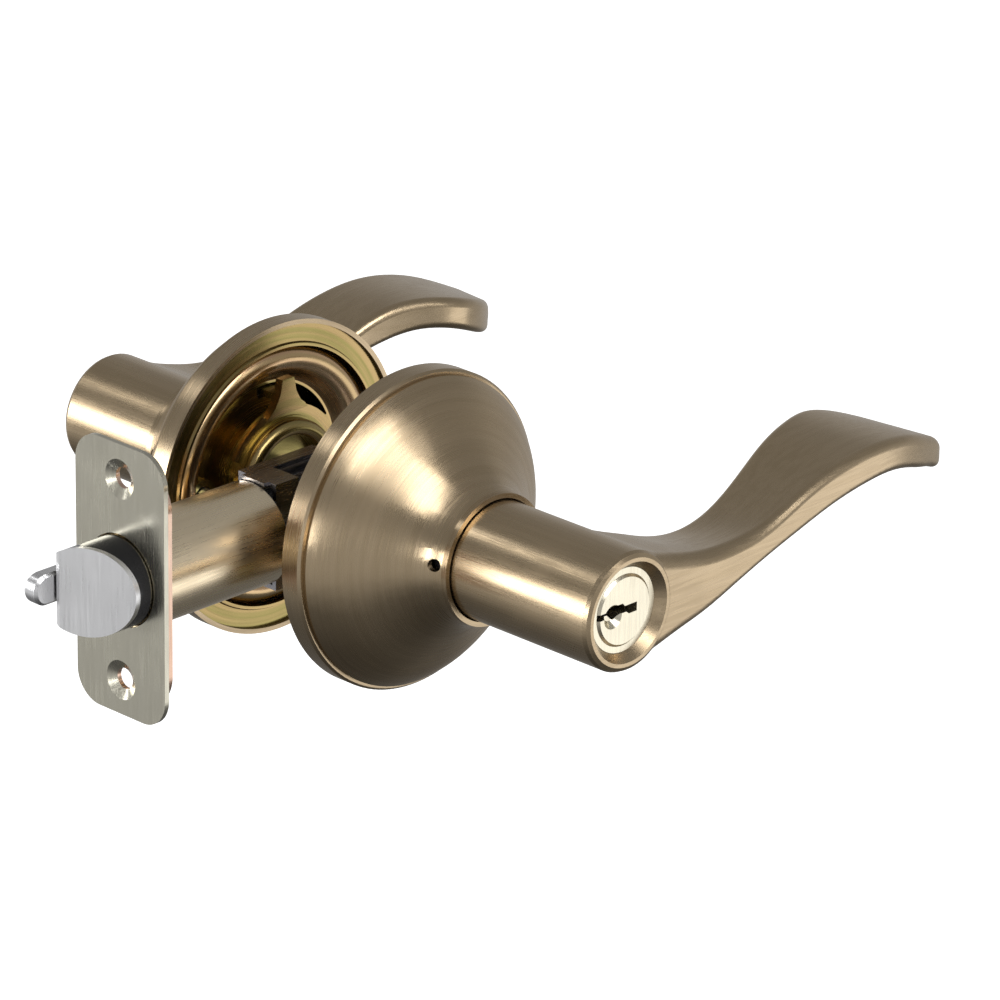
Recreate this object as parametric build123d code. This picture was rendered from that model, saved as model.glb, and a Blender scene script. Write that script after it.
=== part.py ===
from build123d import *
import math
import os

# Keyed lever handle lockset for a bored door. Millimetres.
# The Y axis is the spindle: +Y is the room side, -Y the keyed street side, +Z is up.
# The latch bolt leaves the door edge along -X, and both lever arms point along +X.
# Both trims are drawn on the +Y side, and the street side is the same shape mirrored.

os.makedirs("parts", exist_ok=True)

# Driving dimensions
DOOR_THICKNESS = 34.92
BACKSET = 60.3
ROSE_RADIUS = 33.35
LEVER_FACE = 80.0
INNER_FACE = 70.0
INNER_SAG = 2.5
END_WALL = 8.0
NECK_RADIUS = 12.4
LEVER_TURN = 55.0
BOLT_RADIUS = 9.33
BOLT_THROW = 11.7
SCREW_SPREAD = 19.05
CATCH_HEIGHT = 2.0

DOOR_FACE = DOOR_THICKNESS / 2
FIT = 0.05
GAP = 0.35


# Small helpers. Every rod, tube and ring is centred on a line along Y or X.

def rod(radius, start, end, at=(0, 0)):
    """Solid cylinder along Y from start to end, centred on x, z."""
    x, z = at
    middle = Location((x, (start + end) / 2, z), (90, 0, 0))
    return middle * Cylinder(radius, abs(end - start))


def tube(radius, bore, start, end, at=(0, 0)):
    return rod(radius, start, end, at) - rod(bore, start - 1, end + 1, at)


def rod_x(radius, start, end, at=(0, 0)):
    """Solid cylinder along X from start to end, centred on y, z."""
    y, z = at
    middle = Location(((start + end) / 2, y, z), (0, 90, 0))
    return middle * Cylinder(radius, abs(end - start))


def block(x, y, z):
    """Box between the low and high values given for each axis."""
    size = [high - low for low, high in (x, y, z)]
    centre = [(high + low) / 2 for low, high in (x, y, z)]
    return Pos(*centre) * Box(*size)


def turned(*edges):
    """Ring turned about the Y axis from a closed outline of (radius, y) edges."""
    return revolve(make_face(edges), Axis.Y, 360)


def turned_points(*points):
    return turned(*Polyline(*points, close=True).edges())


def sector(inner, outer, start, end, first, last):
    """Part ring along Y between two angles, counted from +Z towards +X."""
    steps = 12
    reach = outer * 1.3
    angles = [math.radians(first + (last - first) * i / steps) for i in range(steps + 1)]
    rim = [(reach * math.sin(a), reach * math.cos(a)) for a in angles]
    plan = make_face(Polyline((0, 0), *rim, close=True))
    wedge = extrude(Plane((0, end, 0), x_dir=(1, 0, 0), z_dir=(0, -1, 0)) * plan, end - start)
    return tube(outer, inner, start, end) & wedge


def coil(radius, wire, length, turns):
    """Round-wire helix from the origin along +Z."""
    path = Helix(length / turns, length, radius)
    return sweep(Plane(path @ 0, z_dir=path % 0) * Circle(wire), path, is_frenet=True)


def save(name, shape):
    export_step(shape, f"parts/{name}.step")


def save_pair(name, shape):
    """The room-side piece, and the same piece mirrored for the street side."""
    save(f"inner_{name}", shape)
    save(f"outer_{name}", mirror(shape, about=Plane.XZ))


# Rose: the drawn cover plate, a flat rim band under a bell that flares into a collar.

ROSE_WALL = 1.0
RIM_FRONT = DOOR_FACE + 4.7
COLLAR_RADIUS = 13.75
COLLAR_FRONT = 43.3
PINHOLE_Y = 40.4
PINHOLE_RADIUS = 1.3


def rose():
    shoulder = (ROSE_RADIUS - 1.1, RIM_FRONT + 0.8)
    bell = [shoulder, (28.6, 26.9), (23.0, 31.0), (17.8, 35.3), (14.7, 39.2), (COLLAR_RADIUS, 42.0)]
    lining = [(r - 0.7 * ROSE_WALL, y - 0.72 * ROSE_WALL) for r, y in bell]
    lining[-1] = (COLLAR_RADIUS - ROSE_WALL, 41.6)
    outline = [
        Line((ROSE_RADIUS - ROSE_WALL, DOOR_FACE), (ROSE_RADIUS, DOOR_FACE)),
        Line((ROSE_RADIUS, DOOR_FACE), (ROSE_RADIUS, RIM_FRONT - 0.5)),
        Line((ROSE_RADIUS, RIM_FRONT - 0.5), (ROSE_RADIUS - 0.5, RIM_FRONT)),
        Line((ROSE_RADIUS - 0.5, RIM_FRONT), (ROSE_RADIUS - 1.3, RIM_FRONT)),
        Line((ROSE_RADIUS - 1.3, RIM_FRONT), shoulder),
        Spline(*bell),
        Line(bell[-1], (COLLAR_RADIUS, COLLAR_FRONT)),
        Line((COLLAR_RADIUS, COLLAR_FRONT), (COLLAR_RADIUS - ROSE_WALL, COLLAR_FRONT)),
        Line((COLLAR_RADIUS - ROSE_WALL, COLLAR_FRONT), lining[-1]),
        Spline(*reversed(lining)),
        Line(lining[0], (ROSE_RADIUS - ROSE_WALL, RIM_FRONT - 1.2)),
        Line((ROSE_RADIUS - ROSE_WALL, RIM_FRONT - 1.2), (ROSE_RADIUS - ROSE_WALL, DOOR_FACE)),
    ]
    pinhole = rod_x(PINHOLE_RADIUS, -COLLAR_RADIUS - 4, -COLLAR_RADIUS + 4, (PINHOLE_Y, CATCH_HEIGHT))
    return turned(*outline) - pinhole


# Backing plate: flat washer just inside the rim, with a thin lip around its hole.

PLATE_BACK = DOOR_FACE + 0.9
PLATE_FRONT = PLATE_BACK + 1.2
PLATE_BORE = 27.6


def backing_plate():
    outer = ROSE_RADIUS - ROSE_WALL - FIT
    lip = PLATE_BACK - 0.5
    return turned_points(
        (PLATE_BORE, lip), (PLATE_BORE + 0.6, lip), (PLATE_BORE + 0.9, PLATE_BACK),
        (outer, PLATE_BACK), (outer, PLATE_FRONT), (PLATE_BORE, PLATE_FRONT),
    )


# Spring housing: the drawn dish that the mounting screws clamp, open in the middle.

DISH_EDGE = PLATE_BORE - 0.3
DISH_BORE = 19.6
DISH_FLOOR = 22.0
FLANGE_THICK = 1.2


def spring_housing():
    bowl = [(26.6, 18.9), (24.8, 18.2), (22.2, 19.3), (20.4, 21.3)]
    crown = [(DISH_EDGE, 20.6), *bowl, (DISH_BORE, DISH_FLOOR)]
    inside = [(r, y + FLANGE_THICK) for r, y in crown]
    outline = [
        Spline(*crown),
        Line(crown[-1], inside[-1]),
        Spline(*reversed(inside)),
        Line(inside[0], crown[0]),
    ]
    screw_ways = [rod(3.8, 10, 30, (side * SCREW_SPREAD, 0)) for side in (-1, 1)]
    return turned(*outline) - screw_ways


# Bearing hub: flanged bush the lever turns in, with arc slots for the driver's fingers.

SLEEVE_RADIUS = 10.85
BUSH_RADIUS = 12.6
BUSH_FRONT = 36.0
FINGER_INNER = 16.9
FINGER_OUTER = 18.6
SCREW_HOLE = 2.3


def bearing_hub():
    bore = SLEEVE_RADIUS + FIT
    shape = tube(BUSH_RADIUS, bore, DISH_FLOOR, BUSH_FRONT)
    shape += tube(DISH_BORE - FIT, bore, DISH_FLOOR, DISH_FLOOR + FLANGE_THICK)
    for side in (-1, 1):
        shape += rod(3.7, DISH_FLOOR - 1.6, DISH_FLOOR + FLANGE_THICK, (side * SCREW_SPREAD, 0))
        shape -= rod(SCREW_HOLE, 10, 30, (side * SCREW_SPREAD, 0))
    for turn in (0, 180):
        shape -= sector(FINGER_INNER - 0.5, FINGER_OUTER + 0.4, 20, 25, turn - 8, turn + LEVER_TURN + 10)
    return shape


# Return spring: a torsion coil around the bush, with one straight leg at each end.

def return_spring():
    coil_radius = BUSH_RADIUS + 1.3
    wire = 0.6
    start = DISH_FLOOR + FLANGE_THICK + 2.2
    turns = Location((0, start, 0), (-90, 0, 0)) * coil(coil_radius, wire, 5.4, 3)
    foot = rod_x(wire, coil_radius, coil_radius + 3.4, (start, 0))
    head = rod_x(wire, coil_radius, coil_radius + 3.4, (start + 5.4, 0))
    return Rot(0, -104, 0) * (turns + foot + head)


# Spring driver: the pressed hub that turns with the lever. Seen from the door's hole, it is
# a round lip, two part plates around it and a stop tooth that points up.

DRIVER_BACK = 16.3
DRIVER_FRONT = 17.8
DRIVER_BORE = 9.5
PLATE_REACH = 15.8


def spring_driver():
    rim = 1.7
    lip = turned(*Circle(rim).moved(Location((DRIVER_BORE + rim, DRIVER_BACK - 0.7, 0))).edges())
    shape = tube(13.4, DRIVER_BORE, DRIVER_BACK, DRIVER_FRONT) + lip
    shape += sector(12.0, PLATE_REACH, DRIVER_BACK + 0.3, DRIVER_FRONT, -62, 86)
    shape += sector(12.0, PLATE_REACH, DRIVER_BACK + 0.3, DRIVER_FRONT, 118, 262)
    tooth = make_face(Polyline(
        (-5.6, 14.6), (-3.6, 16.4), (-2.2, 19.0), (-1.6, 22.0),
        (1.6, 22.0), (2.2, 19.0), (3.6, 16.4), (5.6, 14.6), close=True,
    ))
    tooth_plane = Plane((0, DRIVER_FRONT - 0.4, 0), x_dir=(1, 0, 0), z_dir=(0, -1, 0))
    shape += extrude(tooth_plane * tooth, 2.0)
    for turn in (0, 180):
        root = DRIVER_FRONT - 1.2
        shape += sector(FINGER_INNER - 1.6, FINGER_OUTER, root, DRIVER_FRONT, turn - 5, turn + 5)
        shape += sector(FINGER_INNER, FINGER_OUTER, root, 27.5, turn - 5, turn + 5)
    return shape


# Spindle sleeve: the tube that carries the lever. A web at its back grips the spindle.

SLEEVE_BORE = 9.65
SLEEVE_BACK = DRIVER_FRONT
SLEEVE_GAP = 0.5
SLEEVE_FRONT = LEVER_FACE - END_WALL - SLEEVE_GAP
INNER_SLEEVE_FRONT = INNER_FACE - END_WALL - SLEEVE_GAP
WEB_FRONT = SLEEVE_BACK + 2.5
CATCH_HOLE = 2.25
RING_BACK = BUSH_FRONT + 0.5
RING_FRONT = RING_BACK + 1.0
RING_GROOVE = 10.4


def spindle_outline(grow):
    """Round bar with one flat on top, larger all round by grow."""
    flat = SPINDLE_FLAT + grow
    radius = SPINDLE_RADIUS + grow
    return Circle(radius) - Pos(0, flat + radius) * Rectangle(4 * radius, 2 * radius)


def along_y(plan, start, end):
    """Extrude a plan drawn in X and Z from start to end along Y."""
    return extrude(Plane((0, end, 0), x_dir=(1, 0, 0), z_dir=(0, -1, 0)) * plan, end - start)


def spindle_sleeve(clearance, front):
    shape = tube(SLEEVE_RADIUS, SLEEVE_BORE, SLEEVE_BACK, front)
    shape += rod(SLEEVE_RADIUS, SLEEVE_BACK, WEB_FRONT)
    shape -= along_y(spindle_outline(clearance), SLEEVE_BACK - 1, WEB_FRONT + 1)
    shape -= tube(SLEEVE_RADIUS + 1, RING_GROOVE, RING_BACK - FIT, RING_FRONT + FIT)
    shape -= rod_x(CATCH_HOLE, -SLEEVE_RADIUS - 2, -SLEEVE_BORE + 2, (PINHOLE_Y, CATCH_HEIGHT))
    return shape


def outer_sleeve():
    """The keyed side's sleeve also has a slot for the pin chamber."""
    half = CHAMBER_HALF + 0.3
    slot = block((0, SLEEVE_RADIUS + 1), (CHAMBER_BACK - 1, SLEEVE_FRONT + 1), (-half, half))
    return mirror(spindle_sleeve(FIT, SLEEVE_FRONT) - slot, about=Plane.XZ)


def retaining_ring():
    split = block((0, 20), (RING_BACK - 1, RING_FRONT + 1), (-1.5, 1.5))
    return tube(13.3, RING_GROOVE + FIT, RING_BACK, RING_FRONT) - split


# Lever: a neck with a wave-shaped arm. The arm is lofted through rounded four-sided sections
# that stand across X. Each row holds x, then y at the front and back edges, then the heights
# of the front top, back top, back bottom and front bottom corners, then the corner radius.
# The front edge is flush with the neck's end until the arm rounds off to its tip.

ARM_SECTIONS = [
    (0.0, 79.9, 58.0, 12.0, 12.0, -12.0, -12.0, 3.0),
    (4.0, 79.9, 58.8, 11.4, 11.4, -11.7, -11.7, 3.0),
    (9.0, 79.9, 59.6, 9.3, 9.4, -10.9, -10.6, 3.0),
    (15.0, 79.9, 60.4, 7.6, 7.2, -9.4, -8.9, 2.8),
    (22.0, 79.9, 61.0, 6.3, 4.6, -7.6, -7.0, 2.5),
    (31.0, 79.9, 61.4, 6.0, 3.0, -4.6, -3.7, 2.2),
    (40.0, 79.9, 61.5, 7.2, 4.4, -1.4, -0.4, 2.0),
    (50.0, 79.9, 60.9, 10.7, 9.2, 3.2, 2.6, 1.9),
    (60.0, 79.9, 59.3, 13.4, 14.2, 7.0, 5.3, 1.9),
    (70.0, 79.8, 57.0, 14.7, 15.7, 8.8, 7.0, 1.9),
    (78.0, 79.3, 55.2, 14.4, 14.8, 7.8, 7.3, 1.9),
    (85.0, 78.2, 56.0, 13.1, 12.8, 5.4, 6.0, 1.9),
    (90.0, 77.0, 58.2, 11.5, 10.9, 3.4, 4.4, 1.9),
    (95.0, 75.4, 61.8, 9.5, 8.8, 1.6, 2.8, 1.9),
    (98.6, 73.9, 65.2, 7.6, 7.0, 0.8, 1.6, 1.6),
]
TIP_X = 100.4


def arm_section(x, front, back, front_top, back_top, back_bottom, front_bottom, corner):
    plan = make_face(Polyline(
        (front, front_top), (back, back_top), (back, back_bottom), (front, front_bottom), close=True,
    ))
    return Plane((x, 0, 0), x_dir=(0, 1, 0), z_dir=(1, 0, 0)) * fillet(plan.vertices(), corner)


def lever_arm():
    x, front, back, front_top, back_top, back_bottom, front_bottom, corner = ARM_SECTIONS[-1]
    inset = 1.6
    tip = arm_section(
        TIP_X, front - inset, back + inset, front_top - inset - 0.6, back_top - inset - 0.6,
        back_bottom + inset - 0.5, front_bottom + inset - 0.5, 0.9,
    )
    return loft([arm_section(*row) for row in ARM_SECTIONS] + [tip])


CUP_RADIUS = 10.4
CUP_DEPTH = 2.0
CUP_BORE = 8.8
NECK_BACK = 38.6


def lever_blank(face, sag):
    """Neck and arm as one casting, with the shallow cup in its end and the bore from behind.

    The neck ends at the face, and the arm sags by the given angle about the spindle.
    """
    shape = turned_points(
        (0, NECK_BACK), (NECK_RADIUS, NECK_BACK), (NECK_RADIUS, face - 1.2),
        (NECK_RADIUS - 0.4, face - 0.4), (NECK_RADIUS - 1.2, face), (0, face),
    )
    shape += Location((0, face - LEVER_FACE, 0), (0, sag, 0)) * lever_arm()
    shape -= turned_points(
        (0, face - CUP_DEPTH), (CUP_BORE, face - CUP_DEPTH), (CUP_RADIUS, face + 0.01), (0, face + 0.01),
    )
    shape -= rod(SLEEVE_RADIUS + FIT, NECK_BACK - 1, face - END_WALL)
    shape -= rod_x(CATCH_HOLE, -NECK_RADIUS - 2, -SLEEVE_RADIUS + 2, (PINHOLE_Y, CATCH_HEIGHT))
    return shape


BUTTON_RADIUS = 6.0


def inner_lever():
    button_way = rod(BUTTON_RADIUS + GAP, INNER_FACE - END_WALL - 1, INNER_FACE)
    return lever_blank(INNER_FACE, INNER_SAG) - button_way


def outer_lever():
    wall = LEVER_FACE - END_WALL
    half = CHAMBER_HALF + 0.2
    pocket = block((0, CHAMBER_TOP + 0.2), (CHAMBER_BACK - 1, wall), (-half, half))
    shape = lever_blank(LEVER_FACE, 0) - rod(CUP_BORE, wall - 1, LEVER_FACE) - pocket
    return mirror(shape, about=Plane.XZ)


# Lever catch: a sprung pin through sleeve and neck that keeps the lever on. A thin tool
# through the collar's pinhole pushes it in.

CATCH_TRAVEL = 2.6


def lever_catch():
    pin = rod_x(CATCH_HOLE - GAP, -NECK_RADIUS + 0.3, -SLEEVE_BORE + 1.2, (PINHOLE_Y, CATCH_HEIGHT))
    leaf = block((-8.9, -8.1), (PINHOLE_Y - 2.6, PINHOLE_Y + 2.6), (CATCH_HEIGHT - 3.2, CATCH_HEIGHT + 1.2))
    return pin + leaf


# Mounting screws from the room side into threaded posts on the street side's dish.

POST_RADIUS = 2.9
POST_TIP = 2.0
SCREW_HEAD_BACK = DISH_FLOOR + FLANGE_THICK


def mounting_posts():
    return [
        tube(POST_RADIUS, 2.05, -DISH_FLOOR + 1.6, POST_TIP, (side * SCREW_SPREAD, 0))
        for side in (-1, 1)
    ]


def mounting_screws():
    screws = []
    for side in (-1, 1):
        at = (side * SCREW_SPREAD, 0)
        screw = rod(2.0, -12, SCREW_HEAD_BACK, at) + rod(3.5, SCREW_HEAD_BACK, SCREW_HEAD_BACK + 2.0, at)
        x = side * SCREW_SPREAD
        screw -= block((x - 2.2, x + 2.2), (SCREW_HEAD_BACK + 1.0, SCREW_HEAD_BACK + 3), (-0.4, 0.4))
        screw -= block((x - 0.4, x + 0.4), (SCREW_HEAD_BACK + 1.0, SCREW_HEAD_BACK + 3), (-2.2, 2.2))
        screws.append(screw)
    return screws


# Spindle: one flatted bar that joins both sleeves and turns the latch cam.

SPINDLE_RADIUS = 4.2
SPINDLE_FLAT = 2.9
SPINDLE_END = 35.5
LOCK_BAR_RADIUS = 1.6


def drive_spindle():
    bar = along_y(spindle_outline(0), -SPINDLE_END, SPINDLE_END)
    return bar - rod(LOCK_BAR_RADIUS + GAP, -SPINDLE_END - 1, SPINDLE_END + 1)


# Key cylinder, drawn on the +Y side like the rest and mirrored as it is saved.

PLUG_RADIUS = 7.4
PLUG_FACE = LEVER_FACE - 1.5
PLUG_BACK = 48.0
HOUSING_RADIUS = 8.75
HOUSING_BACK = 46.6
HOUSING_FACE = LEVER_FACE - CUP_DEPTH
CHAMBER_BACK = 48.0
CHAMBER_TOP = 11.0
CHAMBER_HALF = 2.8
PIN_RADIUS = 1.25
PIN_SPREAD = 4.0
PIN_COUNT = 5
PIN_FIRST = 52.0
SHEAR_LINE = PLUG_RADIUS
KEYWAY_END = 3.4


def pin_row(start, end, radius):
    """One radial cylinder along +X for each pin."""
    return [rod_x(radius, start, end, (PIN_FIRST + i * PIN_SPREAD, 0)) for i in range(PIN_COUNT)]


def cylinder_housing():
    shape = tube(HOUSING_RADIUS, PLUG_RADIUS + FIT, HOUSING_BACK, HOUSING_FACE)
    depth = (CHAMBER_BACK, SLEEVE_FRONT - 0.4)
    chamber = block((PLUG_RADIUS + 0.4, CHAMBER_TOP), depth, (-CHAMBER_HALF, CHAMBER_HALF))
    shape += chamber - rod(PLUG_RADIUS + FIT, HOUSING_BACK - 1, HOUSING_FACE)
    for hole in pin_row(PLUG_RADIUS - 1, CHAMBER_TOP - 0.6, PIN_RADIUS + FIT):
        shape -= hole
    return mirror(shape, about=Plane.XZ)


def keyway():
    """Keyway section in X and Z, stepped on both sides like the wards of a house key."""
    return make_face(Polyline(
        (-PLUG_RADIUS - 1, 1.0), (-3.2, 1.0), (-2.6, 1.7), (-0.6, 1.7), (0.0, 1.0), (KEYWAY_END, 1.0),
        (KEYWAY_END, -0.9), (1.2, -0.9), (0.4, -0.3), (-1.0, -0.3), (-2.4, -1.6), (-3.8, -0.3),
        (-PLUG_RADIUS - 1, -0.3), close=True,
    ))


def key_plug():
    shape = turned_points(
        (0, PLUG_BACK), (PLUG_RADIUS, PLUG_BACK), (PLUG_RADIUS, PLUG_FACE - 0.5),
        (PLUG_RADIUS - 0.5, PLUG_FACE), (0, PLUG_FACE),
    )
    shape += rod(7.0, HOUSING_BACK - 2.0, PLUG_BACK)
    shape -= tube(8.0, 6.5, HOUSING_BACK - 1.4, HOUSING_BACK - 0.35)
    shape -= along_y(keyway(), PLUG_BACK - 4, PLUG_FACE + 1)
    floor = PLUG_FACE - 1.3
    mouth = PLUG_FACE + 0.01
    funnel = turned_points((0, floor), (1.2, floor), (2.5, mouth), (0, mouth))
    shape -= Pos(-3.3, 0, -0.4) * funnel
    for hole in pin_row(0, PLUG_RADIUS + 1, PIN_RADIUS + FIT):
        shape -= hole
    return mirror(shape, about=Plane.XZ)


def mirrored(shapes):
    return [mirror(shape, about=Plane.XZ) for shape in shapes]


def key_pins():
    pins = pin_row(KEYWAY_END - 0.6, SHEAR_LINE - 0.15, PIN_RADIUS)
    return mirrored(pins)


def driver_pins():
    return mirrored(pin_row(SHEAR_LINE + 0.4, CHAMBER_TOP - 0.8, PIN_RADIUS))


def plug_retainer():
    split = block((-12, -6), (HOUSING_BACK - 3, HOUSING_BACK), (-3, 3))
    ring = tube(9.0, 6.55, HOUSING_BACK - 1.35, HOUSING_BACK - 0.4) - split
    return mirror(ring, about=Plane.XZ)


def plug_tailpiece():
    bar = block((-3.0, 3.0), (SPINDLE_END + 3.2, HOUSING_BACK - 2.0), (-0.75, 0.75))
    return mirror(bar, about=Plane.XZ)


# Turn button in the room-side lever, and the bar it turns through the spindle.

BUTTON_FACE = INNER_FACE + 1.0
BUTTON_TOP = INNER_FACE + 6.0
FLANGE_BACK = INNER_FACE - 10.6


def turn_button():
    shape = rod(BUTTON_RADIUS, FLANGE_BACK, BUTTON_FACE)
    shape += rod(8.2, FLANGE_BACK, INNER_FACE - END_WALL - 0.5)
    grip = block((-1.5, 1.5), (BUTTON_FACE - 0.5, BUTTON_TOP), (-5.2, 5.2))
    shape += fillet(grip.edges().filter_by(Axis.Y), 1.0)
    return shape - rod(LOCK_BAR_RADIUS + FIT, FLANGE_BACK - 1, FLANGE_BACK + 4)


def lock_bar():
    return rod(LOCK_BAR_RADIUS, -SPINDLE_END - 2.6, FLANGE_BACK + 3.9)


# Latch. Its axis is the X axis, and the bolt points along -X.

FACE_X = -BACKSET
FACE_THICK = 1.1
FACE_WIDE = 25.4
FACE_TALL = 57.15
FACE_CORNER = 6.4
BACKPLATE_TALL = 50.0
FACE_SCREWS = 42.5
SCREW_WAY = 2.2
SINK_RADIUS = 4.1
TUBE_RADIUS = 10.8
TUBE_BORE = 9.6
TUBE_END = -25.0


def edge_plate(tall, corner, start, thick, bore):
    """Plate with round corners that stands across X, with a hole for the bolt."""
    upright = Plane((start, 0, 0), x_dir=(0, 1, 0), z_dir=(1, 0, 0))
    plan = upright * RectangleRounded(FACE_WIDE, tall, corner)
    return extrude(plan, thick) - rod_x(bore, start - 1, start + thick + 1)


def faceplate():
    shape = edge_plate(FACE_TALL, FACE_CORNER, FACE_X, FACE_THICK, BOLT_RADIUS + GAP)
    for side in (-1, 1):
        place = Location((FACE_X + FACE_THICK / 2, 0, side * FACE_SCREWS / 2), (0, -90, 0))
        shape -= place * Cone(SCREW_WAY, SINK_RADIUS, FACE_THICK)
    return shape


def faceplate_backplate():
    shape = edge_plate(BACKPLATE_TALL, FACE_CORNER + 1.4, FACE_X + FACE_THICK, 1.0, TUBE_RADIUS + FIT)
    for side in (-1, 1):
        shape -= rod_x(SCREW_WAY, FACE_X, FACE_X + 4, (0, side * FACE_SCREWS / 2))
    return shape


def latch_tube():
    start = FACE_X + FACE_THICK
    return rod_x(TUBE_RADIUS, start, TUBE_END) - rod_x(TUBE_BORE, start - 1, TUBE_END + 1)


# Bolt: a plated shank that ends just in front of the faceplate, a nylon nose and a chromed
# slant face.

NOSE_X = FACE_X - BOLT_THROW
SHANK_FRONT = FACE_X - 0.4
SHANK_BACK = -46.0
BOLT_FLAT = 5.5
SLANT_START = (FACE_X - 4.3, -BOLT_RADIUS)
SLANT_END = (NOSE_X, BOLT_FLAT - 0.8)
SLANT_THICK = 1.0
PLUNGER_LOW = BOLT_FLAT + 0.4
PLUNGER_HALF = 3.25
SPRING_BORE = 5.0


def plunger_way():
    half = PLUNGER_HALF + GAP
    return block((NOSE_X - 10, SHANK_BACK + 1), (BOLT_FLAT, BOLT_RADIUS + 1), (-half, half))


def bolt_shank():
    shape = rod_x(BOLT_RADIUS, SHANK_FRONT, SHANK_BACK)
    shape -= rod_x(SPRING_BORE, FACE_X + 2.0, SHANK_BACK + 1)
    return shape - plunger_way()


def behind_slant(depth):
    """Everything behind the slanted face, moved back by depth along the slant's normal."""
    run = SLANT_END[0] - SLANT_START[0]
    rise = SLANT_END[1] - SLANT_START[1]
    long = math.hypot(run, rise)
    back = (rise / long * depth, -run / long * depth)
    stretched = ((SLANT_START, 1), (SLANT_END, -1))
    ends = [(x - run * t + back[0], y - rise * t + back[1]) for (x, y), t in stretched]
    plan = make_face(Polyline(*ends, (0, ends[1][1]), (0, ends[0][1]), close=True))
    return extrude(Pos(0, 0, -15) * plan, 30)


def bolt_blank():
    return rod_x(BOLT_RADIUS, NOSE_X, SHANK_FRONT) - block((-90, -40), (BOLT_FLAT, 20), (-20, 20))


def bolt_nose():
    return bolt_blank() & behind_slant(SLANT_THICK)


def bolt_face():
    return (bolt_blank() & behind_slant(0)) - behind_slant(SLANT_THICK)


# Bolt tail: plate at the back of the bolt with two arms. The upper arm's hook is what the
# cam's finger pulls.

ARM_LOW = 6.0
ARM_HIGH = 7.6
HOOK_X = 2.0
HOOK_THICK = 2.0


def bolt_tail():
    shape = rod_x(8.9, SHANK_BACK, SHANK_BACK + 1.2) - rod_x(SPRING_BORE, SHANK_BACK - 1, SHANK_BACK + 2)
    shape -= plunger_way() + Pos(3, 0, 0) * plunger_way()
    hook_end = HOOK_X + HOOK_THICK
    shape += block((SHANK_BACK, hook_end), (1.2, 2.8), (ARM_LOW, ARM_HIGH))
    shape += block((HOOK_X, hook_end), (-0.8, 1.2), (ARM_LOW, ARM_HIGH))
    shape += block((SHANK_BACK, -9.0), (1.2, 2.8), (-ARM_HIGH, -ARM_LOW))
    return shape


PLUNGER_TIP = NOSE_X - 5.0
PLUNGER_BACK = -56.0
PLUNGER_TRAVEL = 12.0


def dead_latch_plunger():
    """Half-moon bar beside the bolt's flat, with a round-nosed tip."""
    bar = rod_x(BOLT_RADIUS - 0.1, PLUNGER_TIP, PLUNGER_BACK)
    bar &= block((-90, -40), (PLUNGER_LOW, 20), (-PLUNGER_HALF, PLUNGER_HALF))
    bar = fillet(bar.edges().filter_by(Axis.Y).group_by(Axis.X)[0], PLUNGER_HALF - 0.3)
    return chamfer(bar.faces().sort_by(Axis.X)[0].edges().filter_by(Axis.Z), 0.6)


SPRING_SEAT = -28.6


def latch_spring():
    wire = 0.55
    start = FACE_X + 2.0 + wire + 0.2
    end = SPRING_SEAT - CASE_SHEET / 2 - wire - 0.2
    return Location((start, 0, 0), (0, 90, 0)) * coil(4.0, wire, end - start, 9)


def plunger_spring():
    start = PLUNGER_BACK + 0.5
    return Location((start, 7.4, 0), (0, 90, 0)) * coil(1.0, 0.25, SHANK_BACK - start, 6)


# Latch case: folded steel box behind the tube that carries the cam.

CASE_HALF_WIDE = 5.4
CASE_HALF_TALL = 11.4
CASE_SHEET = 1.0
CASE_FRONT = -23.4
CHEEK_FRONT = -17.2
CASE_BACK = 9.0
CAM_RADIUS = 5.5


def latch_case():
    inner = CASE_HALF_WIDE - CASE_SHEET
    box = (CASE_FRONT, CHEEK_FRONT)
    shape = block(box, (-CASE_HALF_WIDE, CASE_HALF_WIDE), (-CASE_HALF_TALL, CASE_HALF_TALL))
    ceiling = CASE_HALF_TALL - CASE_SHEET
    shape -= block((CASE_FRONT - 1, 0), (-inner, inner), (-ceiling, ceiling))
    cheek_tall = CASE_HALF_TALL - 1.6
    for side in (-1, 1):
        wall = sorted((side * inner, side * CASE_HALF_WIDE))
        shape += block((CHEEK_FRONT, CASE_BACK), wall, (-cheek_tall, cheek_tall))
        shape += block((SPRING_SEAT - 0.5, CASE_FRONT), wall, (-7.6, 7.6))
    shape += block((CHEEK_FRONT, -3.0), (2.0, CASE_HALF_WIDE), (ceiling, CASE_HALF_TALL))
    shape += block((CHEEK_FRONT, -3.0), (inner, CASE_HALF_WIDE), (cheek_tall, CASE_HALF_TALL))
    shape += block((CASE_FRONT - 1.2, CASE_FRONT), (-3.2, 3.2), (ceiling + 0.2, CASE_HALF_TALL))
    seat = (SPRING_SEAT - CASE_SHEET / 2, SPRING_SEAT + CASE_SHEET / 2)
    shape += block(seat, (-inner, inner), (-5.6, 5.6))
    shape -= rod(CAM_RADIUS + FIT, -8, 8)
    shape -= rod(POST_RADIUS + GAP, -8, 8, (-SCREW_SPREAD, 0))
    return shape


FINGER_TIP = 13.7


def latch_cam():
    shape = rod(CAM_RADIUS, -7.2, 7.2)
    shape += block((-1.5, 1.5), (-0.8, 0.8), (0, FINGER_TIP))
    return shape - along_y(spindle_outline(0.3), -9, 9)


# Write each piece

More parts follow.
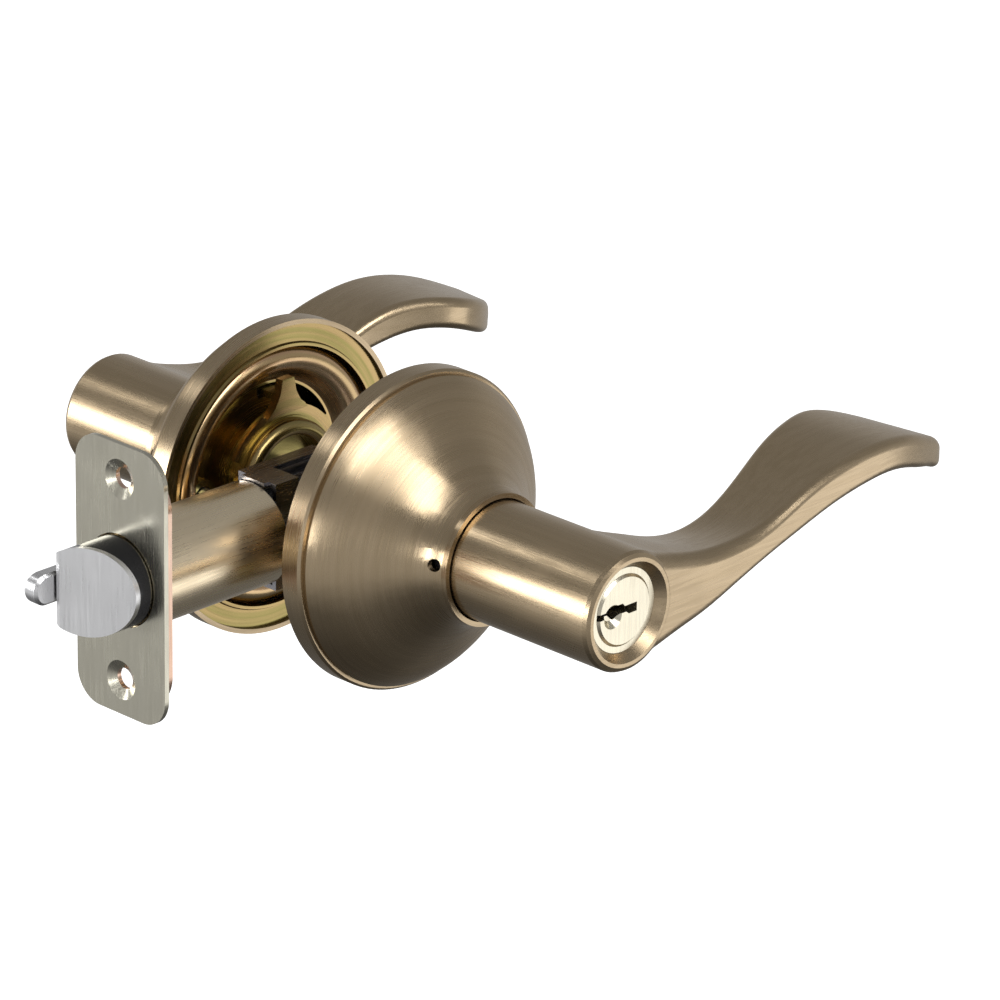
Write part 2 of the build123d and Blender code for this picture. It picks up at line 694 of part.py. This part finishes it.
save_pair("rose", rose())
save_pair("backing_plate", backing_plate())
save_pair("spring_housing", spring_housing())
save_pair("bearing_hub", bearing_hub())
save_pair("return_spring", return_spring())
save_pair("spring_driver", spring_driver())
save_pair("retaining_ring", retaining_ring())
save_pair("lever_catch", lever_catch())
save("inner_spindle_sleeve", spindle_sleeve(0.3, INNER_SLEEVE_FRONT))
save("outer_spindle_sleeve", outer_sleeve())
save("inner_lever", inner_lever())
save("outer_lever", outer_lever())
save("mounting_posts", Compound(mounting_posts()))
save("mounting_screws", Compound(mounting_screws()))
save("drive_spindle", drive_spindle())
save("cylinder_housing", cylinder_housing())
save("key_plug", key_plug())
save("key_pins", Compound(key_pins()))
save("driver_pins", Compound(driver_pins()))
save("plug_retainer", plug_retainer())
save("plug_tailpiece", plug_tailpiece())
save("turn_button", turn_button())
save("lock_bar", lock_bar())
save("faceplate", faceplate())
save("faceplate_backplate", faceplate_backplate())
save("latch_tube", latch_tube())
save("bolt_shank", bolt_shank())
save("bolt_nose", bolt_nose())
save("bolt_face", bolt_face())
save("bolt_tail", bolt_tail())
save("dead_latch_plunger", dead_latch_plunger())
save("latch_spring", latch_spring())
save("plunger_spring", plunger_spring())
save("latch_case", latch_case())
save("latch_cam", latch_cam())
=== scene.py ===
import math

import bmesh
import bpy
from mathutils import Matrix, Vector

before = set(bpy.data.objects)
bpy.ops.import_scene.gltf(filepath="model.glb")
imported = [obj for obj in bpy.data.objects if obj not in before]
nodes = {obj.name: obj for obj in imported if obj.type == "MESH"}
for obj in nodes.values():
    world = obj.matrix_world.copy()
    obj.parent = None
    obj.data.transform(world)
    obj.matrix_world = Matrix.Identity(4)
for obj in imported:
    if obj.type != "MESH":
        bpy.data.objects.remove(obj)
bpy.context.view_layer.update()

# ---------------------------------------------------------------- Camera
# Long lens from the street side's left, a little above, turned about its own axis by a degree.

AZIMUTH = math.radians(-46.07)
ELEVATION = math.radians(22.02)
ROLL = math.radians(0.956)
CAMERA_DISTANCE = 1.268
TARGET = Vector((0.04616, 0.0, -0.01279))
LENS = 219.9

back = Vector((
    math.sin(AZIMUTH) * math.cos(ELEVATION),
    -math.cos(AZIMUTH) * math.cos(ELEVATION),
    math.sin(ELEVATION),
))
right = Vector((math.cos(AZIMUTH), math.sin(AZIMUTH), 0.0))
up = back.cross(right)
rolled_right = right * math.cos(ROLL) + up * math.sin(ROLL)
rolled_up = up * math.cos(ROLL) - right * math.sin(ROLL)

camera_data = bpy.data.cameras.new("camera")
camera_data.lens = LENS
camera_data.sensor_width = 36.0
camera_data.clip_start = 0.01
camera = bpy.data.objects.new("camera", camera_data)
turn = Matrix((rolled_right, rolled_up, back)).transposed().to_4x4()
camera.matrix_world = Matrix.Translation(TARGET + back * CAMERA_DISTANCE) @ turn
bpy.context.scene.collection.objects.link(camera)
bpy.context.scene.camera = camera

# ---------------------------------------------------------------- Studio
# A glowing white floor in a dim room. The floor doesn't show in the metal, which mirrors the room
# and six soft boxes: a long one and a small high one at the left, two in front and two at the right.

FLOOR_HEIGHT = -0.30
FLOOR_SIZE = 9.0
FLOOR_GLOW = 0.85
# Room brightness by height, from 0 straight down to 1 straight up.
ROOM_GREYS = ((0.0, 0.07), (0.12, 0.13), (0.33, 0.52), (0.52, 0.46), (0.75, 0.30), (1.0, 0.28))
LAMP_DISTANCE = 1.3


def stage_floor(name):
    """Flat square sheet under the object, white and glowing a little so that it reads as white."""
    sheet = bmesh.new()
    bmesh.ops.create_grid(sheet, x_segments=1, y_segments=1, size=FLOOR_SIZE / 2)
    bmesh.ops.translate(sheet, vec=(0, 0, FLOOR_HEIGHT), verts=sheet.verts)
    mesh = bpy.data.meshes.new(name)
    sheet.to_mesh(mesh)
    sheet.free()
    floor = bpy.data.objects.new(name, mesh)
    bpy.context.scene.collection.objects.link(floor)
    paint = bpy.data.materials.new(name)
    paint.use_nodes = True
    shader = paint.node_tree.nodes["Principled BSDF"]
    shader.inputs["Base Color"].default_value = (0.9, 0.9, 0.9, 1.0)
    shader.inputs["Roughness"].default_value = 0.9
    shader.inputs["Emission Color"].default_value = (1.0, 1.0, 1.0, 1.0)
    shader.inputs["Emission Strength"].default_value = FLOOR_GLOW
    mesh.materials.append(paint)
    floor.visible_glossy = False


def soft_box(name, turn, height, wide, tall, brightness):
    """Area light round the object: turn from the camera's side and height in degrees, size in metres."""
    angle = AZIMUTH + math.radians(turn)
    rise = math.radians(height)
    direction = Vector((
        math.sin(angle) * math.cos(rise), -math.cos(angle) * math.cos(rise), math.sin(rise),
    ))
    data = bpy.data.lights.new(name, "AREA")
    data.shape = "RECTANGLE"
    data.size = wide
    data.size_y = tall
    data.energy = brightness * math.pi * wide * tall
    lamp = bpy.data.objects.new(name, data)
    facing = direction.to_track_quat("Z", "Y").to_matrix().to_4x4()
    lamp.matrix_world = Matrix.Translation(direction * LAMP_DISTANCE) @ facing
    bpy.context.scene.collection.objects.link(lamp)


stage_floor("floor")
soft_box("left_box", -80, 3, 1.30, 0.42, 6.5)
soft_box("upper_left_box", -105, 44, 0.30, 0.20, 2.5)
soft_box("front_box", 38, 42, 0.85, 0.62, 4.2)
soft_box("streak_box", -26, 4, 0.34, 0.34, 8.0)
soft_box("right_low_box", 92, -22, 0.80, 0.45, 0.95)
soft_box("right_box", 70, 22, 0.16, 0.60, 1.8)

world = bpy.data.worlds.new("studio")
bpy.context.scene.world = world
world.use_nodes = True
sky = world.node_tree
direction = sky.nodes.new("ShaderNodeSeparateXYZ")
sky.links.new(sky.nodes.new("ShaderNodeTexCoord").outputs["Generated"], direction.inputs[0])
height = sky.nodes.new("ShaderNodeMapRange")
height.inputs["From Min"].default_value = -1.0
height.inputs["From Max"].default_value = 1.0
sky.links.new(direction.outputs["Z"], height.inputs["Value"])
fade = sky.nodes.new("ShaderNodeValToRGB")
fade.color_ramp.interpolation = "EASE"
stops = fade.color_ramp.elements
stops.remove(stops[1])
stops[0].position = ROOM_GREYS[0][0]
for place, grey in ROOM_GREYS[1:]:
    stops.new(place)
for stop, (place, grey) in zip(stops, ROOM_GREYS):
    stop.color = (grey, grey, grey, 1.0)
sky.links.new(height.outputs["Result"], fade.inputs["Fac"])
room = sky.nodes["Background"]
room.inputs["Strength"].default_value = 1.0
sky.links.new(fade.outputs["Color"], room.inputs["Color"])

bpy.context.scene.view_settings.view_transform = "Standard"

# ---------------------------------------------------------------- Latch front
# Faceplate: satin nickel-plated steel, stamped with round corners and two countersunk holes,
# over a shorter copper-flashed plate that is staked to the latch tube.


def new_group(name, inputs, outputs):
    """Empty shader node group with float, colour or vector sockets."""
    group = bpy.data.node_groups.new(name, "ShaderNodeTree")
    kinds = {"value": "NodeSocketFloat", "colour": "NodeSocketColor", "vector": "NodeSocketVector"}
    for label, kind, default in inputs:
        socket = group.interface.new_socket(label, in_out="INPUT", socket_type=kinds[kind])
        if default is not None:
            socket.default_value = default
    for label, kind in outputs:
        group.interface.new_socket(label, in_out="OUTPUT", socket_type=kinds[kind])
    start = group.nodes.new("NodeGroupInput")
    end = group.nodes.new("NodeGroupOutput")
    return group, start, end


def add_math(tree, operation, first, second=0.5):
    node = tree.nodes.new("ShaderNodeMath")
    node.operation = operation
    for index, value in enumerate((first, second)):
        if isinstance(value, (int, float)):
            node.inputs[index].default_value = value
        else:
            tree.links.new(value, node.inputs[index])
    return node.outputs[0]


def add_noise(tree, vector, scale, detail, roughness=0.5):
    node = tree.nodes.new("ShaderNodeTexNoise")
    node.inputs["Scale"].default_value = scale
    node.inputs["Detail"].default_value = detail
    node.inputs["Roughness"].default_value = roughness
    tree.links.new(vector, node.inputs["Vector"])
    return node.outputs["Fac"]


def add_range(tree, value, low, high, to_low, to_high):
    node = tree.nodes.new("ShaderNodeMapRange")
    node.interpolation_type = "SMOOTHSTEP"
    node.inputs["From Min"].default_value = low
    node.inputs["From Max"].default_value = high
    node.inputs["To Min"].default_value = to_low
    node.inputs["To Max"].default_value = to_high
    tree.links.new(value, node.inputs["Value"])
    return node.outputs["Result"]


def straight_grain_group():
    """Brushing along one axis: Stretch squeezes the pattern least along the strokes."""
    group, start, end = new_group(
        "straight_grain",
        [("Position", "vector", None), ("Stretch", "vector", (1.0, 1.0, 1.0))],
        [("Strokes", "value"), ("Streaks", "value")],
    )
    scale = group.nodes.new("ShaderNodeVectorMath")
    scale.operation = "MULTIPLY"
    group.links.new(start.outputs["Position"], scale.inputs[0])
    group.links.new(start.outputs["Stretch"], scale.inputs[1])
    fine = add_noise(group, scale.outputs[0], 3200.0, 3.0, 0.6)
    broad = add_noise(group, scale.outputs[0], 700.0, 2.0)
    group.links.new(fine, end.inputs["Strokes"])
    group.links.new(broad, end.inputs["Streaks"])
    return group


def turned_grain_group():
    """Brushing round the spindle: the pattern changes with radius and depth, hardly round the turn."""
    group, start, end = new_group(
        "turned_grain",
        [("Position", "vector", None)],
        [("Strokes", "value"), ("Streaks", "value")],
    )
    split = group.nodes.new("ShaderNodeSeparateXYZ")
    group.links.new(start.outputs["Position"], split.inputs[0])
    across = add_math(group, "MULTIPLY", split.outputs["X"], split.outputs["X"])
    high = add_math(group, "MULTIPLY", split.outputs["Z"], split.outputs["Z"])
    radius = add_math(group, "SQRT", add_math(group, "ADD", across, high))
    join = group.nodes.new("ShaderNodeCombineXYZ")
    wander = 0.035
    drift = add_math(group, "MULTIPLY", split.outputs["X"], wander)
    group.links.new(add_math(group, "ADD", radius, drift), join.inputs["X"])
    group.links.new(split.outputs["Y"], join.inputs["Y"])
    group.links.new(add_math(group, "MULTIPLY", split.outputs["Z"], wander), join.inputs["Z"])
    fine = add_noise(group, join.outputs[0], 3400.0, 3.0, 0.6)
    broad = add_noise(group, join.outputs[0], 650.0, 2.0)
    group.links.new(fine, end.inputs["Strokes"])
    group.links.new(broad, end.inputs["Streaks"])
    return group


def handling_group():
    """Slow cloudiness of touched metal, and sparse short scratches."""
    group, start, end = new_group(
        "handling", [("Position", "vector", None)], [("Cloud", "value"), ("Scratches", "value")],
    )
    cloud = add_noise(group, start.outputs["Position"], 55.0, 3.0)
    warp = group.nodes.new("ShaderNodeMapping")
    warp.inputs["Rotation"].default_value = (0.4, 0.9, 0.2)
    warp.inputs["Scale"].default_value = (1.0, 14.0, 14.0)
    group.links.new(start.outputs["Position"], warp.inputs["Vector"])
    lines = add_noise(group, warp.outputs[0], 120.0, 4.0, 0.7)
    group.links.new(cloud, end.inputs["Cloud"])
    group.links.new(add_range(group, lines, 0.66, 0.74, 0.0, 1.0), end.inputs["Scratches"])
    return group


straight_grain = straight_grain_group()
turned_grain = turned_grain_group()
handling = handling_group()


class Finish:
    """One metal or plastic finish being wired up: shader, object position and link helpers."""

    def __init__(self, name, colour, roughness, metallic=1.0):
        self.material = bpy.data.materials.new(name)
        self.material.use_nodes = True
        self.tree = self.material.node_tree
        self.shader = self.tree.nodes["Principled BSDF"]
        self.shader.inputs["Base Color"].default_value = (*colour, 1.0)
        self.shader.inputs["Metallic"].default_value = metallic
        self.shader.inputs["Roughness"].default_value = roughness
        self.position = self.tree.nodes.new("ShaderNodeTexCoord").outputs["Object"]

    def group(self, group):
        node = self.tree.nodes.new("ShaderNodeGroup")
        node.node_tree = group
        self.tree.links.new(self.position, node.inputs["Position"])
        return node

    def mix(self, factor, first, second):
        """Colour that goes from first to second as factor goes from 0 to 1."""
        node = self.tree.nodes.new("ShaderNodeMix")
        node.data_type = "RGBA"
        self.tree.links.new(factor, node.inputs["Factor"])
        for socket, value in ((node.inputs["A"], first), (node.inputs["B"], second)):
            if isinstance(value, tuple):
                socket.default_value = (*value, 1.0)
            else:
                self.tree.links.new(value, socket)
        return node.outputs["Result"]

    def feed(self, socket, value):
        self.tree.links.new(value, self.shader.inputs[socket])

    def bump(self, height, depth, under=None):
        """Bump of the given depth in metres, on top of an earlier one."""
        node = self.tree.nodes.new("ShaderNodeBump")
        node.inputs["Distance"].default_value = depth
        self.tree.links.new(height, node.inputs["Height"])
        if under is not None:
            self.tree.links.new(under, node.inputs["Normal"])
        return node.outputs["Normal"]


def brushed_metal(name, dark, light, roughness, grain, depth, stretch=None):
    """Brushed metal: strokes in the bump, streaks in the colour, cloudy roughness and scratches."""
    finish = Finish(name, light, roughness)
    strokes = finish.group(grain)
    if stretch is not None:
        strokes.inputs["Stretch"].default_value = stretch
    touched = finish.group(handling)
    tree = finish.tree
    shade = add_range(tree, strokes.outputs["Streaks"], 0.35, 0.65, 0.0, 1.0)
    finish.feed("Base Color", finish.mix(shade, dark, light))
    swing = 0.03
    rough = add_range(tree, touched.outputs["Cloud"], 0.35, 0.65, roughness - swing, roughness + swing)
    fine = add_range(tree, strokes.outputs["Strokes"], 0.3, 0.7, -0.04, 0.05)
    finish.feed("Roughness", add_math(tree, "ADD", rough, fine))
    normal = finish.bump(strokes.outputs["Strokes"], depth)
    finish.feed("Normal", finish.bump(touched.outputs["Scratches"], -depth, normal))
    return finish.material


def stretch_highlights(material, amount, turn):
    """Stretches highlights on a part brushed round the spindle; turn is in whole turns from round."""
    tree = material.node_tree
    shader = tree.nodes["Principled BSDF"]
    shader.inputs["Anisotropic"].default_value = amount
    shader.inputs["Anisotropic Rotation"].default_value = turn
    tangent = tree.nodes.new("ShaderNodeTangent")
    tangent.direction_type = "RADIAL"
    tangent.axis = "Y"
    tree.links.new(tangent.outputs["Tangent"], shader.inputs["Tangent"])


def wear(node, material):
    """Gives a CAD node one finish."""
    mesh = nodes[node].data
    mesh.materials.clear()
    mesh.materials.append(material)


ALONG_Z = (1.0, 1.0, 0.03)
ALONG_Y = (1.0, 0.03, 1.0)
ALONG_X = (0.03, 1.0, 1.0)

satin_nickel = brushed_metal(
    "satin_nickel", (0.57, 0.545, 0.45), (0.585, 0.56, 0.465),
    0.24, straight_grain, 6e-7, ALONG_Z,
)
copper_flash = brushed_metal(
    "copper_flash", (0.68, 0.46, 0.35), (0.78, 0.56, 0.44),
    0.25, straight_grain, 2e-6, ALONG_Z,
)
wear("faceplate", satin_nickel)
wear("faceplate_backplate", copper_flash)

# ---------------------------------------------------------------- Latch tube and bolt
# Tube: brass-plated, rolled and glossy. Bolt: nickel-plated shank, black nylon nose and a
# satin-chromed slant face. The dead-latch plunger beside it is chromed too.

tube_brass = brushed_metal(
    "tube_brass", (0.88, 0.74, 0.52), (0.91, 0.77, 0.55),
    0.28, straight_grain, 3e-7, ALONG_X,
)
nickel_beige = brushed_metal(
    "nickel_beige", (0.60, 0.54, 0.42), (0.68, 0.62, 0.50),
    0.2, straight_grain, 1e-6, ALONG_X,
)
satin_chrome = brushed_metal(
    "satin_chrome", (0.80, 0.80, 0.81), (0.81, 0.81, 0.82),
    0.30, straight_grain, 6e-7, ALONG_Z,
)
zinc_steel = brushed_metal(
    "zinc_steel", (0.44, 0.45, 0.46), (0.55, 0.56, 0.57),
    0.3, straight_grain, 2e-6, ALONG_X,
)
dark_steel = brushed_metal(
    "dark_steel", (0.34, 0.33, 0.35), (0.42, 0.41, 0.43),
    0.26, straight_grain, 8e-7, ALONG_X,
)
spring_wire = brushed_metal(
    "spring_wire", (0.40, 0.40, 0.41), (0.50, 0.50, 0.51),
    0.25, straight_grain, 1e-6, ALONG_X,
)

black_nylon = Finish("black_nylon", (0.012, 0.012, 0.014), 0.18, metallic=0.0).material

for name, material in (
    ("latch_tube", tube_brass), ("bolt_shank", nickel_beige), ("bolt_face", satin_chrome),
    ("dead_latch_plunger", satin_chrome), ("bolt_nose", black_nylon), ("bolt_tail", zinc_steel),
    ("latch_cam", zinc_steel), ("latch_case", dark_steel), ("latch_spring", spring_wire),
    ("plunger_spring", spring_wire),
):
    wear(name, material)

# ---------------------------------------------------------------- Trim behind the roses
# Chromated steel: gold, orange and green colour bands of yellow zinc.

yellow_zinc = brushed_metal(
    "yellow_zinc", (0.30, 0.25, 0.09), (0.44, 0.31, 0.14),
    0.22, turned_grain, 5e-7,
)
bronze_zinc = brushed_metal(
    "bronze_zinc", (0.50, 0.36, 0.19), (0.66, 0.44, 0.26),
    0.22, turned_grain, 5e-7,
)

for side in ("outer", "inner"):
    wear(f"{side}_backing_plate", yellow_zinc)
    wear(f"{side}_spring_housing", bronze_zinc)
    wear(f"{side}_bearing_hub", yellow_zinc)
    wear(f"{side}_spring_driver", yellow_zinc)
    wear(f"{side}_return_spring", spring_wire)
    wear(f"{side}_spindle_sleeve", yellow_zinc)
    wear(f"{side}_retaining_ring", spring_wire)
    wear(f"{side}_lever_catch", zinc_steel)
for name in ("mounting_posts", "mounting_screws", "drive_spindle", "lock_bar", "plug_tailpiece"):
    wear(name, zinc_steel)

# ---------------------------------------------------------------- Roses and levers
# Antique brass under clear lacquer, brushed round on the roses and lengthwise on the levers.

BRASS_DARK = (0.465, 0.358, 0.228)
BRASS_LIGHT = (0.500, 0.388, 0.252)
BRASS_ROUGHNESS = 0.27


def lever_grain_group():
    """Brushing along the neck, turning to run along X on the arm and on the flat faces across the neck.
    """
    group, start, end = new_group(
        "lever_grain",
        [("Position", "vector", None)],
        [("Strokes", "value"), ("Streaks", "value")],
    )
    place = group.nodes.new("ShaderNodeSeparateXYZ")
    group.links.new(start.outputs["Position"], place.inputs[0])
    facing = group.nodes.new("ShaderNodeSeparateXYZ")
    group.links.new(group.nodes.new("ShaderNodeNewGeometry").outputs["Normal"], facing.inputs[0])
    arm_begins = 0.010
    neck_ends = 0.022
    on_arm = add_range(group, place.outputs["X"], arm_begins, neck_ends, 0.0, 1.0)
    on_face = add_range(group, add_math(group, "ABSOLUTE", facing.outputs["Y"]), 0.5, 0.8, 0.0, 1.0)
    share = add_math(group, "MAXIMUM", on_arm, on_face)
    layers = []
    for stretch in (ALONG_Y, ALONG_X):
        node = group.nodes.new("ShaderNodeGroup")
        node.node_tree = straight_grain
        node.inputs["Stretch"].default_value = stretch
        group.links.new(start.outputs["Position"], node.inputs["Position"])
        layers.append(node)
    for label in ("Strokes", "Streaks"):
        blend = group.nodes.new("ShaderNodeMix")
        group.links.new(share, blend.inputs["Factor"])
        group.links.new(layers[0].outputs[label], blend.inputs["A"])
        group.links.new(layers[1].outputs[label], blend.inputs["B"])
        group.links.new(blend.outputs["Result"], end.inputs[label])
    return group


lever_grain = lever_grain_group()
turned_brass = brushed_metal(
    "turned_brass", BRASS_DARK, BRASS_LIGHT,
    BRASS_ROUGHNESS, turned_grain, 3e-7,
)
lever_brass = brushed_metal(
    "lever_brass", BRASS_DARK, BRASS_LIGHT,
    BRASS_ROUGHNESS, lever_grain, 3e-7,
)
stretch_highlights(turned_brass, 0.75, 0.25)
for side in ("outer", "inner"):
    wear(f"{side}_rose", turned_brass)
    wear(f"{side}_lever", lever_brass)
wear("turn_button", lever_brass)

# ---------------------------------------------------------------- Key cylinder
# Nickel-plated brass plug and housing, polished on the face, with brass pins.

plug_nickel = brushed_metal(
    "plug_nickel", (0.78, 0.72, 0.57), (0.79, 0.73, 0.58),
    0.26, straight_grain, 4e-7, ALONG_Z,
)
for name in ("cylinder_housing", "key_plug"):
    wear(name, plug_nickel)
for name in ("key_pins", "driver_pins"):
    wear(name, tube_brass)
wear("plug_retainer", spring_wire)
